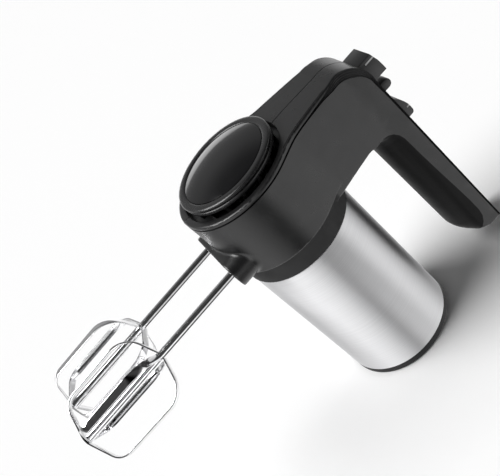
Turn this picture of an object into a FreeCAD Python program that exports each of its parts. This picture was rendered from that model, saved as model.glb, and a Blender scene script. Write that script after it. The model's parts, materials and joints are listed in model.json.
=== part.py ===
"""Hand mixer with an upright motor, an arm and a hand-grip, and two beaters.

Frame: the origin is the centre of the base cap's underside, on which the mixer stands.
+Z runs up the motor axis, the beaters point along -Y, and the hand-grip is on the +Y side.
All sizes are in millimetres.
"""
import FreeCAD, Part
import math
import os

V = FreeCAD.Vector
X_AXIS = V(1, 0, 0)
Y_AXIS = V(0, 1, 0)
Z_AXIS = V(0, 0, 1)

# Motor body
SLEEVE_R = 39.0
SLEEVE_WALL = 1.0
SLEEVE_Z0 = 5.0
SLEEVE_Z1 = 117.0
SPIGOT_R = SLEEVE_R - SLEEVE_WALL - 0.2

# Housing shells
WALL = 2.2
COLLAR_R = 39.5
HEAD_R = 41.0
HEAD_Z0 = 131.0
HEAD_Z1 = 178.5
DECK_R = 36.0
DECK_Z = 174.0
DECK_PLATE = 2.0
ARM_Z0 = 126.0
GRIP_HALF = 17.5
GRIP_Z0 = 11.5
GRIP_FLAT = 11.5

# Beater drive
BEATER_X = 19.0
BEATER_Z = 142.0
PORT_Y = -45.0
PORT_R = 10.0
GEAR_TEETH = 24
WORM_STARTS = 2
MODULE = 1.25
WORM_R = 4.0
GEAR_R = BEATER_X - WORM_R
AXIAL_PITCH = math.pi * MODULE
WORM_LEAD = WORM_STARTS * AXIAL_PITCH
GEAR_HALF_WIDTH = 5.0
SPINDLE_R = 5.5
BUSH_GAP = 0.06

# Beaters
SHAFT_R = 2.9
SHAFT_TOP_Y = 6.0
CAGE_TOP_Y = -107.0
CAGE_END_Y = -176.5
CAGE_R = 25.8
STRIP_W = 5.0
STRIP_T = 1.0

# Motor
MOTOR_SHAFT_R = 3.0
CORE_Z0 = 46.0
CORE_Z1 = 84.0
ARMATURE_R = 16.8
STATOR_BORE_R = 17.4
STATOR_R = 31.0
STUD_X = 28.0
COIL_R = 23.6
BASE_SCREW_Y = 31.5
COMMUTATOR_R = 11.0

# Controls on the back of the grip
BUTTON_GAP = 0.35
EJECT_Z0 = 149.0
EJECT_Z1 = 164.6
EJECT_HALF = 9.0
KNOB_Z0 = 135.0
KNOB_Z1 = 143.0
KNOB_DOWN = 2.2
KNOB_UP = 4.4
TURBO_Z0 = 112.5
TURBO_Z1 = 132.5
TURBO_HALF = 7.5

# Top disc
DISC_R = 34.5
DISC_STEP_R = 34.2
DISC_NECK_R = 31.0
DISC_TOP_Z = 186.0
LENS_SEAT_Z = 184.4
LENS_SEAT_R = 29.6
LENS_R = 29.2
LENS_RISE = 5.0

# Cord inlet
INLET_R = 3.5
INLET_Y = 91.5
INLET_Z0 = 12.2
INLET_LENGTH = 7.0
BUSH_HALF = 4.6


# ---------------------------------------------------------------- helpers

def rod(radius, z0, z1, x=0.0, y=0.0):
    """Solid cylinder along Z."""
    return Part.makeCylinder(radius, z1 - z0, V(x, y, z0), Z_AXIS)


def tube(outer, inner, z0, z1, x=0.0, y=0.0):
    return rod(outer, z0, z1, x, y).cut(rod(inner, z0 - 1, z1 + 1, x, y))


def rod_y(radius, y0, y1, x=0.0, z=0.0):
    """Solid cylinder along Y."""
    return Part.makeCylinder(radius, y1 - y0, V(x, y0, z), Y_AXIS)


def rod_x(radius, x0, x1, y=0.0, z=0.0):
    """Solid cylinder along X."""
    return Part.makeCylinder(radius, x1 - x0, V(x0, y, z), X_AXIS)


def tube_y(outer, inner, y0, y1, x=0.0, z=0.0):
    return rod_y(outer, y0, y1, x, z).cut(rod_y(inner, y0 - 1, y1 + 1, x, z))


def block(x0, x1, y0, y1, z0, z1):
    return Part.makeBox(x1 - x0, y1 - y0, z1 - z0, V(x0, y0, z0))


def fuse(shapes):
    """Union of overlapping solids, with leftover seams removed."""
    return shapes[0].multiFuse(shapes[1:]).removeSplitter()


def mirrored(shape):
    """Copy on the other side of the x = 0 plane."""
    return shape.mirror(V(0, 0, 0), X_AXIS)


def turned(shape, degrees, centre=V(0, 0, 0), axis=Z_AXIS):
    copy = shape.copy()
    copy.rotate(centre, axis, degrees)
    return copy


def rounded(shape, radius, wanted):
    """Fillet the edges for which wanted(edge) is true."""
    edges = [edge for edge in shape.Edges if wanted(edge)]
    return shape.makeFillet(radius, edges)


def sector(r_in, r_out, z0, z1, a0, a1):
    """Part of a ring between two angles in degrees."""
    ring = Part.makeCylinder(r_out, z1 - z0, V(0, 0, z0), Z_AXIS, a1 - a0)
    ring.rotate(V(0, 0, 0), Z_AXIS, a0)
    return ring.cut(rod(r_in, z0 - 1, z1 + 1))


def coil_spring(mean_r, wire_r, length, turns):
    """Helical spring along +Z from the origin."""
    pitch = (length - 2 * wire_r) / turns
    path = Part.makeHelix(pitch, pitch * turns, mean_r)
    profile = Part.Wire([Part.Circle(V(mean_r, 0, 0), Y_AXIS, wire_r).toShape()])
    spring = Part.Wire(path.Edges).makePipeShell([profile], True, True)
    spring.translate(V(0, 0, wire_r))
    return spring


# ---------------------------------------------------------------- housing outline

def grip_back(z):
    """Y of the grip's back face at height z."""
    return 99.4 - 0.0352 * (z - GRIP_Z0)


def grip_inner(z):
    """Y of the grip's inner (finger) side at height z."""
    return 69.5 + 0.0385 * (118.0 - z)


def spine_face():
    """Side view of arm and grip in the YZ plane."""
    def p(y, z):
        return V(0, y, z)
    shoulder = Part.Arc(p(grip_back(157), 157), p(89.6, 170.6), p(78, 176.7)).toShape()
    crook = Part.Arc(p(61.5, ARM_Z0), p(67.2, 123.7), p(69.5, 118)).toShape()
    toe = Part.Arc(p(grip_inner(27), 27), p(78.0, 16.6), p(90.0, GRIP_Z0)).toShape()
    edges = [
        Part.makeLine(p(0, HEAD_Z1), p(0, ARM_Z0)),
        Part.makeLine(p(0, ARM_Z0), p(61.5, ARM_Z0)),
        crook,
        Part.makeLine(p(69.5, 118), p(grip_inner(27), 27)),
        toe,
        Part.makeLine(p(90.0, GRIP_Z0), p(grip_back(GRIP_Z0), GRIP_Z0)),
        Part.makeLine(p(grip_back(GRIP_Z0), GRIP_Z0), p(grip_back(157), 157)),
        shoulder,
        Part.makeLine(p(78, 176.7), p(44, 178.2)),
        Part.makeLine(p(44, 178.2), p(0, HEAD_Z1)),
    ]
    return Part.Face(Part.Wire(edges))


def arm_plan_face(z):
    """Plan view of the arm: wide at the head, narrowing to the grip."""
    half = [(0, 31.5), (23, 29.6), (45, 24.6), (65, 20.4), (78, GRIP_HALF), (110, GRIP_HALF)]
    right = [V(x, y, z) for y, x in half]
    left = [V(-x, y, z) for y, x in reversed(half)]
    return Part.Face(Part.makePolygon(right + left + right[:1]))


def grip_section(z, inset):
    """Plan section of the grip: flat back and sides, round towards the fingers."""
    half = GRIP_HALF - inset
    back = grip_back(z) - inset
    side_end = grip_back(z) - GRIP_FLAT
    depth = side_end - grip_inner(z) - inset
    corner = 2.5
    points = {
        "side": V(half, side_end, z),
        "side_back": V(half, back - corner, z),
        "back_side": V(half - corner, back, z),
        "other_back_side": V(corner - half, back, z),
        "other_side_back": V(-half, back - corner, z),
        "other_side": V(-half, side_end, z),
    }
    bend = corner * (1 - math.sqrt(0.5))
    centre = V(0, side_end, z)
    if half > depth:
        round_side = Part.Ellipse(centre + V(half, 0, 0), centre + V(0, depth, 0), centre)
        arc = Part.Arc(round_side, math.pi, 2 * math.pi).toShape()
    else:
        round_side = Part.Ellipse(centre + V(0, depth, 0), centre - V(half, 0, 0), centre)
        arc = Part.Arc(round_side, 0.5 * math.pi, 1.5 * math.pi).toShape()
    edges = [
        arc,
        Part.makeLine(points["side"], points["side_back"]),
        Part.Arc(points["side_back"], V(half - bend, back - bend, z), points["back_side"]).toShape(),
        Part.makeLine(points["back_side"], points["other_back_side"]),
        Part.Arc(points["other_back_side"], V(bend - half, back - bend, z),
                 points["other_side_back"]).toShape(),
        Part.makeLine(points["other_side_back"], points["other_side"]),
    ]
    return Part.Wire(Part.__sortEdges__(edges))


def arm_and_grip(inset):
    """Solid of the arm and grip, moved inwards by inset."""
    spine = spine_face()
    if inset:
        spine = spine.makeOffset2D(-inset)
    slab = spine.extrude(V(120, 0, 0))
    slab.translate(V(-60, 0, 0))
    plan = arm_plan_face(ARM_Z0 - 3.0)
    if inset:
        plan = plan.makeOffset2D(-inset)
    arm = plan.extrude(V(0, 0, 80))
    grip = Part.makeLoft([grip_section(4.0, inset), grip_section(134.0, inset)], True, True)
    return slab.common(arm.fuse(grip))


def port_block(inset):
    """Stadium-shaped nose that the two beater shafts come out of."""
    radius = PORT_R - inset
    front = PORT_Y + inset
    barrels = [rod_y(radius, front, 0.0, side * BEATER_X, BEATER_Z) for side in (-1, 1)]
    web = block(-BEATER_X, BEATER_X, front, 0.0, BEATER_Z - radius, BEATER_Z + radius)
    return fuse(barrels + [web])


def head_outer():
    head = rod(HEAD_R, HEAD_Z0, HEAD_Z1)
    head = rounded(head, 2.0, lambda edge: edge.BoundBox.ZMin > HEAD_Z1 - 0.1)
    collar = rod(COLLAR_R, SLEEVE_Z1 + 0.4, HEAD_Z0 + 0.5)
    return head.fuse(collar)


def housing_solid():
    """Both shells as one hollow body, before it is split down the middle."""
    outer = head_outer().fuse(arm_and_grip(0.0)).fuse(port_block(0.0))
    spigot = rod(SPIGOT_R, SLEEVE_Z1 - 7.0, SLEEVE_Z1 + 1.0)
    outer = outer.fuse(spigot)
    inside = rod(HEAD_R - WALL, HEAD_Z0 + 2.0, HEAD_Z1 - WALL)
    throat = rod(COLLAR_R - WALL, SLEEVE_Z1 + 0.4, HEAD_Z0 + 3.0)
    lip = rod(SPIGOT_R - WALL, SLEEVE_Z1 - 8.0, SLEEVE_Z1 + 2.0)
    hollow = arm_and_grip(WALL).fuse(inside).fuse(throat).fuse(lip).fuse(port_block(WALL))
    shell = outer.cut(hollow)
    shell = shell.fuse(rod(DECK_R + WALL, DECK_Z - DECK_PLATE, HEAD_Z1 - 0.4))
    shell = shell.cut(rod(DECK_R, DECK_Z, HEAD_Z1 + 1.0))
    shell = shell.fuse(screw_bosses())
    for opening in housing_openings():
        shell = shell.cut(opening)
    return shell


def screw_places():
    """Y and Z of the four screws that join the shells."""
    return [(86.0, 38.0), (83.5, 96.0), (60.0, 134.0), (62.0, 170.5)]


def screw_bosses():
    bosses = [rod_x(3.6, -40.0, 40.0, y, z) for y, z in screw_places()]
    return Part.makeCompound(bosses).common(arm_and_grip(0.5))


def housing_openings():
    """Everything cut through the shells."""
    seat = BUSH_HALF + 0.15
    cuts = [block(-seat, seat, INLET_Y - seat, INLET_Y + seat, GRIP_Z0 - 5, INLET_Z0 + 3.2)]
    for side in (-1, 1):
        cuts.append(rod_y(7.4, PORT_Y - 1, PORT_Y + WALL + 1, side * BEATER_X, BEATER_Z))
    cuts.append(block(-EJECT_HALF - BUTTON_GAP, EJECT_HALF + BUTTON_GAP, 86, 110,
                      EJECT_Z0 - BUTTON_GAP, EJECT_Z1 + BUTTON_GAP))
    cuts.append(block(-2.4, 2.4, 86, 110, KNOB_Z0 + 2 - KNOB_DOWN, KNOB_Z1 - 2 + KNOB_UP))
    cuts.append(block(-TURBO_HALF - BUTTON_GAP, TURBO_HALF + BUTTON_GAP, 86, 110,
                      TURBO_Z0 - BUTTON_GAP, TURBO_Z1 + BUTTON_GAP))
    for k in range(16):
        slot = block(-1.6, 1.6, 18.0, 26.0, DECK_Z - DECK_PLATE - 1, DECK_Z + 1)
        cuts.append(turned(slot, 11.25 + 22.5 * k))
    return cuts


def housing_halves():
    """Left shell with the screw heads' recesses, right shell with the pilot holes."""
    left = housing_solid().common(block(-100, 0, -100, 150, -10, 250))
    right = mirrored(left)
    for y, z in screw_places():
        left = left.cut(rod_x(1.5, -20.0, 1.0, y, z)).cut(rod_x(2.8, -40.0, -13.0, y, z))
        right = right.cut(rod_x(1.3, -1.0, 10.5, y, z))
    return left, right


# ---------------------------------------------------------------- motor body

def motor_sleeve():
    return tube(SLEEVE_R, SLEEVE_R - SLEEVE_WALL, SLEEVE_Z0, SLEEVE_Z1)


def base_cap():
    """Floor of the motor body, with air slots and four screw posts."""
    rim = rod(SLEEVE_R, 0.0, SLEEVE_Z0)
    rim = rounded(rim, 1.2, lambda edge: edge.BoundBox.ZMax < 0.1)
    cap = rim.fuse(rod(SPIGOT_R, SLEEVE_Z0 - 1.0, SLEEVE_Z0 + 6.0))
    cap = cap.cut(rod(SPIGOT_R - WALL, 2.6, SLEEVE_Z0 + 7.0))
    for k in range(20):
        slot = block(-1.3, 1.3, 14.0, 29.0, -1.0, 4.0)
        cap = cap.cut(turned(slot, 18.0 * k + 9.0))
    for k in range(2):
        recess = rod(2.8, -1.0, 2.4, 0.0, BASE_SCREW_Y).fuse(rod(1.3, -1.0, 12.0, 0.0, BASE_SCREW_Y))
        post = rod(4.0, 2.0, 11.0, 0.0, BASE_SCREW_Y).cut(recess)
        cap = cap.cut(turned(recess, 180.0 * k)).fuse(turned(post, 180.0 * k))
    return cap


def lower_bracket():
    """End frame under the motor: bearing seat, brush arms and two posts."""
    plate = rod(33.0, 13.0, 16.0)
    for k in range(4):
        plate = plate.cut(sector(10.0, 26.0, 12.0, 17.0, 22.0 + 90.0 * k, 68.0 + 90.0 * k))
    bracket = plate.fuse(rod(8.5, 11.5, 19.5))
    for side in (-1, 1):
        bracket = bracket.fuse(rod(4.2, 15.0, CORE_Z0, side * STUD_X, 0.0))
        stem = block(-3.0, 3.0, 20.0, 26.0, 15.0, 24.0)
        bracket = bracket.fuse(turned(stem, 0.0 if side > 0 else 180.0))
        arm = block(-5.0, 5.0, 6.0, 30.0, 13.0, 16.0)
        bracket = bracket.fuse(turned(arm, 0.0 if side > 0 else 180.0))
    bracket = bracket.cut(rod(5.0, 10.0, 20.0))
    for side in (-1, 1):
        bracket = bracket.cut(rod(2.1, 5.0, CORE_Z0 + 1.0, side * STUD_X, 0.0))
        bracket = bracket.cut(rod(1.3, 10.0, 20.0, 0.0, side * BASE_SCREW_Y))
    return bracket


def lower_bearing():
    return tube(5.0, MOTOR_SHAFT_R + BUSH_GAP, 12.5, 18.5)


def stator_core():
    """Laminated field: two poles with the coil windows between them."""
    core = rod(STATOR_R, CORE_Z0, CORE_Z1)
    core = core.common(block(-40, 40, -28, 28, CORE_Z0, CORE_Z1))
    core = core.cut(rod(STATOR_BORE_R, CORE_Z0 - 1, CORE_Z1 + 1))
    for start in (48.0, 228.0):
        core = core.cut(sector(STATOR_BORE_R - 1, 25.0, CORE_Z0 - 1, CORE_Z1 + 1, start, start + 84.0))
    for side in (-1, 1):
        core = core.cut(rod(2.1, CORE_Z0 - 1, CORE_Z1 + 1, side * STUD_X, 0.0))
    return core


def field_coil():
    """Saddle coil round the +X pole."""
    legs = [sector(18.0, COIL_R, CORE_Z0 - 6, CORE_Z1 + 6, a0, a0 + 38.0) for a0 in (50.0, -88.0)]
    ends = [
        sector(18.0, COIL_R, CORE_Z0 - 9, CORE_Z0 - 1.5, -88.0, 88.0),
        sector(18.0, COIL_R, CORE_Z1 + 1.5, CORE_Z1 + 9, -88.0, 88.0),
    ]
    return fuse(legs + ends)


def field_coils():
    coil = field_coil()
    return Part.makeCompound([coil, turned(coil, 180.0)])


def motor_studs():
    """Two long screws that clamp bracket, field and gear frame together."""
    stud = rod(2.0, 10.0, 121.0, STUD_X, 0.0).fuse(rod(3.6, 8.5, 11.5, STUD_X, 0.0))
    stud = stud.cut(block(STUD_X - 4, STUD_X + 4, -0.5, 0.5, 8.0, 9.5))
    seat = stud.common(block(0, 60, -10, 10, 0, 200))
    return Part.makeCompound([seat, turned(seat, 180.0)])


def motor_shaft():
    """Steel shaft with the two-start worm cut on its upper end."""
    shaft = rod(MOTOR_SHAFT_R, 9.0, 127.0).fuse(rod(2.65, 126.0, 161.5))
    z0 = BEATER_Z - 2.5 * AXIAL_PITCH
    root = 2.5
    tip = WORM_R + 1.0
    half_root = 1.25
    half_tip = 0.38
    profile = Part.makePolygon([
        V(root, 0, -half_root), V(tip, 0, -half_tip), V(tip, 0, half_tip), V(root, 0, half_root),
        V(root, 0, -half_root)])
    turns = 2.5
    path = Part.Wire(Part.makeHelix(WORM_LEAD, WORM_LEAD * turns, WORM_R).Edges)
    thread = path.makePipeShell([profile], True, True)
    thread.translate(V(0, 0, z0))
    for k in range(WORM_STARTS):
        shaft = shaft.fuse(turned(thread, 360.0 * k / WORM_STARTS))
    return shaft


def armature_core():
    """Laminated rotor with twelve winding slots."""
    core = tube(ARMATURE_R, MOTOR_SHAFT_R, CORE_Z0, CORE_Z1)
    for k in range(12):
        slot = block(8.5, 15.6, -1.6, 1.6, CORE_Z0 - 1, CORE_Z1 + 1)
        mouth = block(15.0, 18.0, -0.8, 0.8, CORE_Z0 - 1, CORE_Z1 + 1)
        core = core.cut(turned(slot.fuse(mouth), 30.0 * k))
    return core


def armature_winding():
    """Copper in the slots, with its heads beyond both ends of the core."""
    lower = tube(15.0, 5.0, CORE_Z0 - 7.0, CORE_Z0)
    upper = tube(15.0, 5.0, CORE_Z1, CORE_Z1 + 7.0)
    lower = rounded(lower, 2.5, lambda edge: edge.BoundBox.ZMax < CORE_Z0 - 6.9)
    upper = rounded(upper, 2.5, lambda edge: edge.BoundBox.ZMin > CORE_Z1 + 6.9)
    pieces = [lower, upper]
    for k in range(12):
        bar = block(8.7, 14.9, -1.5, 1.5, CORE_Z0 - 2, CORE_Z1 + 2)
        pieces.append(turned(bar, 30.0 * k))
    return fuse(pieces)


def commutator():
    """Copper segments on an insulating ring, just above the lower bearing."""
    ring = tube(COMMUTATOR_R, MOTOR_SHAFT_R, 22.5, 35.5)
    for k in range(24):
        groove = block(COMMUTATOR_R - 0.8, COMMUTATOR_R + 1, -0.2, 0.2, 22.0, 33.0)
        ring = ring.cut(turned(groove, 15.0 * k))
    return ring.fuse(tube(COMMUTATOR_R + 1.2, COMMUTATOR_R - 1.0, 33.5, 35.5))


def brush_holders():
    """Two square brass guides on the bracket's arms."""
    holder = block(-4.2, 4.2, 12.8, 28.0, 24.0, 33.0).cut(block(-3.1, 3.1, 12.0, 27.0, 25.4, 31.6))
    return Part.makeCompound([holder, turned(holder, 180.0)])


def carbon_brushes():
    brush = block(-3.0, 3.0, 9.0, 21.0, 25.5, 31.5).cut(rod(COMMUTATOR_R + 0.1, 20.0, 36.0))
    return Part.makeCompound([brush, turned(brush, 180.0)])


def brush_springs():
    spring = coil_spring(2.0, 0.3, 6.0, 5)
    spring.rotate(V(0, 0, 0), X_AXIS, -90.0)
    spring.translate(V(0, 21.0, 28.5))
    return Part.makeCompound([spring, turned(spring, 180.0)])


def cooling_fan():
    """Fan between the motor and the gear frame."""
    fan = tube(7.0, MOTOR_SHAFT_R, 96.0, 108.0).fuse(tube(23.0, 6.0, 96.0, 97.6))
    for k in range(11):
        blade = block(5.5, 22.5, -0.6, 0.6, 97.0, 107.0)
        blade.rotate(V(6.0, 0, 0), Z_AXIS, 14.0)
        fan = fan.fuse(turned(blade, 360.0 / 11 * k))
    return fan


# ---------------------------------------------------------------- gearbox

def gear_frame():
    """Plate over the motor with the two walls that carry the spindles."""
    plate = rod(COLLAR_R - WALL - 0.1, 117.6, 121.0)
    for angle in (45.0, 135.0, 225.0, 315.0):
        plate = plate.cut(sector(14.0, 32.0, 117.0, 122.0, angle - 22.0, angle + 22.0))
    front = block(-27.0, 27.0, -24.0, -20.0, 119.0, 160.0)
    rear = block(-27.0, 27.0, 9.0, 13.0, 119.0, 160.0)
    sides = [block(x - 1.5, x + 1.5, -22.0, 11.0, 119.0, 124.0) for x in (-25.5, 25.5)]
    frame = plate.fuse(front).fuse(rear).fuse(rod(8.0, 116.0, 124.5))
    for side in sides:
        frame = frame.fuse(side)
    for side in (-1, 1):
        frame = frame.fuse(rod(4.2, CORE_Z1, 119.0, side * STUD_X, 0.0))
        frame = frame.fuse(tube_y(10.0, 7.5, -24.0, -20.0, side * BEATER_X, BEATER_Z))
    for side in (-1, 1):
        frame = frame.cut(rod_y(7.5, -30.0, 20.0, side * BEATER_X, BEATER_Z))
        frame = frame.cut(rod(2.1, CORE_Z1 - 1, 121.5, side * STUD_X, 0.0))
        for y in (-22.0, 11.0):
            frame = frame.cut(rod(1.3, 150.0, 161.0, side * 8.0, y))
    return frame.cut(rod(5.0, 115.0, 125.0))


def upper_bearing():
    return tube(5.0, MOTOR_SHAFT_R + BUSH_GAP, 116.5, 124.0)


def gear_cover():
    """Top plate of the gearbox; steadies the end of the worm."""
    cover = block(-20.0, 20.0, -24.0, 13.0, 160.0, 162.5)
    cover = rounded(cover, 5.0, lambda e: abs(e.tangentAt(e.FirstParameter).z) > 0.9)
    cover = cover.fuse(rod(6.5, 158.0, 164.5)).cut(rod(2.65 + BUSH_GAP, 150.0, 162.0))
    for x in (-8.0, 8.0):
        for y in (-22.0, 11.0):
            cover = cover.cut(rod(1.7, 155.0, 170.0, x, y))
    return cover


def cover_screws():
    screws = []
    for x in (-8.0, 8.0):
        for y in (-22.0, 11.0):
            screw = rod(1.3, 151.0, 163.0, x, y).fuse(rod(2.6, 162.5, 164.3, x, y))
            screws.append(screw.cut(block(x - 3, x + 3, y - 0.4, y + 0.4, 163.5, 165.0)))
    return Part.makeCompound(screws)


def spindle_bushes():
    """Four sintered bushes, front and rear of each spindle."""
    bushes = []
    for side in (-1, 1):
        for y0 in (-24.5, 9.0):
            bushes.append(tube_y(7.5, SPINDLE_R + BUSH_GAP, y0, y0 + 4.5, side * BEATER_X, BEATER_Z))
    return Part.makeCompound(bushes)


def gear_outline(y, twist):
    """Toothed outline in the XZ plane at depth y, for a gear centred on the Y axis."""
    tip = GEAR_R + 1.0
    root = GEAR_R - 1.4
    flanks = [(root, -1.2), (tip, -0.38), (tip, 0.38), (root, 1.2)]
    points = []
    for tooth in range(GEAR_TEETH):
        centre = 2 * math.pi * tooth / GEAR_TEETH + math.pi + twist
        for radius, offset in flanks:
            angle = centre + offset / radius
            points.append(V(radius * math.cos(angle), y, -radius * math.sin(angle)))
    return Part.makePolygon(points + points[:1])


def worm_gear_right():
    """Helical wheel on the +X side, in mesh with the worm."""
    lean = WORM_LEAD / (2 * math.pi * WORM_R) / GEAR_R
    levels = [-GEAR_HALF_WIDTH, 0.0, GEAR_HALF_WIDTH]
    wires = [gear_outline(y, lean * y) for y in levels]
    gear = Part.makeLoft(wires, True, True)
    gear = gear.cut(rod_y(SPINDLE_R, -20, 20))
    for y0, y1 in ((-GEAR_HALF_WIDTH - 1, -2.0), (2.0, GEAR_HALF_WIDTH + 1)):
        gear = gear.cut(tube_y(11.8, 8.0, y0, y1))
    gear.translate(V(BEATER_X, 0, BEATER_Z))
    return gear


def spindle(side):
    """Hollow spindle; its front end is slotted for the ears of the beater shaft."""
    x = side * BEATER_X
    tube_part = tube_y(SPINDLE_R, SHAFT_R + 0.08, -40.0, 14.0, x, BEATER_Z)
    slot = block(x - 7, x + 7, -41.0, -31.0, BEATER_Z - 1.1, BEATER_Z + 1.1)
    return tube_part.cut(slot)


def spindle_clip(side):
    """Spring ring in a groove behind the rear bush, so the spindle can't pull out."""
    return tube_y(7.2, SPINDLE_R, 13.7, 14.0, side * BEATER_X, BEATER_Z)


def port_bush(side):
    """Ring that lines the hole in the nose."""
    return tube_y(7.4, 6.2, PORT_Y, PORT_Y + 4.5, side * BEATER_X, BEATER_Z)


# ---------------------------------------------------------------- beaters

def beater_shaft(side):
    """Rod from inside the spindle to the foot of the cage, with two drive ears."""
    x = side * BEATER_X
    shaft = rod_y(SHAFT_R, CAGE_END_Y + 2 * STRIP_T + 0.2, SHAFT_TOP_Y, x, BEATER_Z)
    shaft = shaft.makeChamfer(1.0, [e for e in shaft.Edges if e.BoundBox.YMin > SHAFT_TOP_Y - 0.1])
    ears = block(x - 5.2, x + 5.2, -38.0, -33.0, BEATER_Z - 0.8, BEATER_Z + 0.8)
    ears = rounded(ears, 1.5, lambda e: abs(e.tangentAt(e.FirstParameter).z) > 0.9)
    groove = tube_y(SHAFT_R + 1, SHAFT_R - 0.4, -6.0, -4.6, x, BEATER_Z)
    return shaft.fuse(ears).cut(groove)


def rounded_outline(corners):
    """Closed wire in the XY plane through corners (x, y, radius), each rounded by its radius."""
    count = len(corners)
    cut_points = []
    arcs = []
    for k, (x, y, radius) in enumerate(corners):
        here = V(x, y, 0)
        before = V(*corners[k - 1][:2], 0) - here
        after = V(*corners[(k + 1) % count][:2], 0) - here
        before.normalize()
        after.normalize()
        half_angle = before.getAngle(after) / 2
        reach = radius / math.tan(half_angle)
        middle = before + after
        middle.normalize()
        sagitta = radius / math.sin(half_angle) - radius
        start = here + before * reach
        end = here + after * reach
        arcs.append(Part.Arc(start, here + middle * sagitta, end).toShape())
        cut_points.append((start, end))
    edges = []
    for k in range(count):
        edges.append(arcs[k])
        edges.append(Part.makeLine(cut_points[k][1], cut_points[(k + 1) % count][0]))
    return Part.Wire(edges)


def strip_loop(radius, top, bottom):
    """Flat strip bent into a closed loop: sloping shoulders, straight sides, round foot."""
    shoulder = (radius, top - 8.5)
    foot = (radius * 0.96, bottom + 8.0)
    corners = [
        (0.0, top, 8.0), (shoulder[0], shoulder[1], 17.0), (foot[0], foot[1], 10.0),
        (0.0, bottom, 12.0), (-foot[0], foot[1], 10.0), (-shoulder[0], shoulder[1], 17.0),
    ]
    outer = Part.Face(rounded_outline(corners))
    band = outer.cut(outer.makeOffset2D(-STRIP_T))
    loop = band.extrude(V(0, 0, STRIP_W))
    loop.translate(V(0, 0, -STRIP_W / 2))
    return loop


def beater_loop(side, inner):
    """Outer loop, or the slightly smaller inner loop at right angles to it."""
    if inner:
        gap = STRIP_T + 0.25
        loop = strip_loop(CAGE_R - 0.5, CAGE_TOP_Y - gap, CAGE_END_Y + gap)
    else:
        loop = strip_loop(CAGE_R, CAGE_TOP_Y, CAGE_END_Y)
    loop = loop.cut(rod_y(SHAFT_R, CAGE_END_Y + 2 * STRIP_T, 0.0))
    angle = (90.0 if inner else 0.0) + (45.0 if side > 0 else 0.0)
    loop.rotate(V(0, 0, 0), Y_AXIS, angle)
    loop.translate(V(side * BEATER_X, 0, BEATER_Z))
    return loop


# ---------------------------------------------------------------- top disc

def disc_carrier():
    """Stepped ring on a slotted neck that stands in the head's recess, so air can enter under it."""
    ring = rod(DISC_STEP_R, 180.0, 182.6).fuse(rod(DISC_STEP_R - 1.2, 182.0, 185.0))
    top = rod(DISC_R, LENS_SEAT_Z, DISC_TOP_Z)
    top = rounded(top, 0.8, lambda edge: edge.BoundBox.ZMin > DISC_TOP_Z - 0.1)
    neck = tube(DISC_NECK_R, DISC_NECK_R - 2.5, DECK_Z, 182.0)
    for k in range(24):
        vent = block(-1.5, 1.5, 24.0, 33.0, DECK_Z + 1.2, 179.2)
        neck = neck.cut(turned(vent, 15.0 * k))
    return ring.fuse(top).cut(rod(LENS_SEAT_R, LENS_SEAT_Z, DISC_TOP_Z + 1.0)).fuse(neck)


def disc_lens():
    """Gloss dome in the carrier."""
    foot = LENS_SEAT_Z + 1.2
    sphere_r = (LENS_R * LENS_R + LENS_RISE * LENS_RISE) / (2 * LENS_RISE)
    ball = Part.makeSphere(sphere_r, V(0, 0, foot + LENS_RISE - sphere_r))
    dome = ball.common(rod(LENS_R, foot, foot + 2 * LENS_RISE))
    return dome.fuse(rod(LENS_R, LENS_SEAT_Z, foot))


# ---------------------------------------------------------------- controls

def eject_button():
    """Roof-shaped push block at the bend of the grip."""
    outline = [(84.0, EJECT_Z0), (106.0, EJECT_Z0), (105.4, 157.4), (103.6, EJECT_Z1), (84.0, EJECT_Z1)]
    points = [V(-EJECT_HALF, y, z) for y, z in outline]
    button = Part.Face(Part.makePolygon(points + points[:1])).extrude(V(2 * EJECT_HALF, 0, 0))
    hollow = block(-EJECT_HALF + 1.8, EJECT_HALF - 1.8, 83.0, 99.0, EJECT_Z0 + 1.8, EJECT_Z1 - 1.8)
    mark = block(-EJECT_HALF + 1.5, EJECT_HALF - 1.5, 103.9, 108.0, 160.9, 162.1)
    tie = block(-4.0, 4.0, 84.0, 104.0, 152.5, 158.5)
    return button.cut(hollow).cut(mark).fuse(tie)


def ejector_fork():
    """Bar through the arm that ends in two pins behind the beater shafts."""
    bar = block(-4.0, 4.0, 26.0, 84.0, 152.5, 158.5)
    cross = block(-22.0, 22.0, 26.0, 29.0, 138.5, 158.5)
    fork = bar.fuse(cross)
    for side in (-1, 1):
        fork = fork.fuse(rod_y(2.2, 15.0, 27.0, side * BEATER_X, BEATER_Z))
    fork = fork.cut(block(-12.0, 12.0, 25.0, 30.0, 138.0, 141.5))
    return fork.fuse(rod_y(1.6, 22.5, 27.0, 0.0, 147.0))


def eject_spring():
    """Return spring between the gear frame's rear wall and the fork."""
    spring = coil_spring(3.0, 0.45, 12.8, 6)
    spring.rotate(V(0, 0, 0), X_AXIS, -90.0)
    spring.translate(V(0, 13.1, 147.0))
    return spring


def speed_knob():
    """Ribbed finger knob with the neck that goes through the slot."""
    back = grip_back(135.0)
    knob = block(-4.4, 4.4, back + 0.35, back + 9.6, KNOB_Z0 + 0.9, KNOB_Z1 - 0.9)
    knob = rounded(knob, 2.6, lambda e: e.BoundBox.YMin > back + 9.5)
    neck = block(-2.0, 2.0, 90.0, back + 1.0, KNOB_Z0 + 2.6, KNOB_Z1 - 2.6)
    return knob.fuse(neck)


def switch_slide():
    """Contact carriage that the knob drags along the switch."""
    slide = block(-5.5, 5.5, 88.4, 90.0, KNOB_Z0 - 2.4, KNOB_Z1)
    return slide.fuse(block(-3.0, 3.0, 87.4, 88.6, KNOB_Z0 + 1, KNOB_Z1 - 1))


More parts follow.
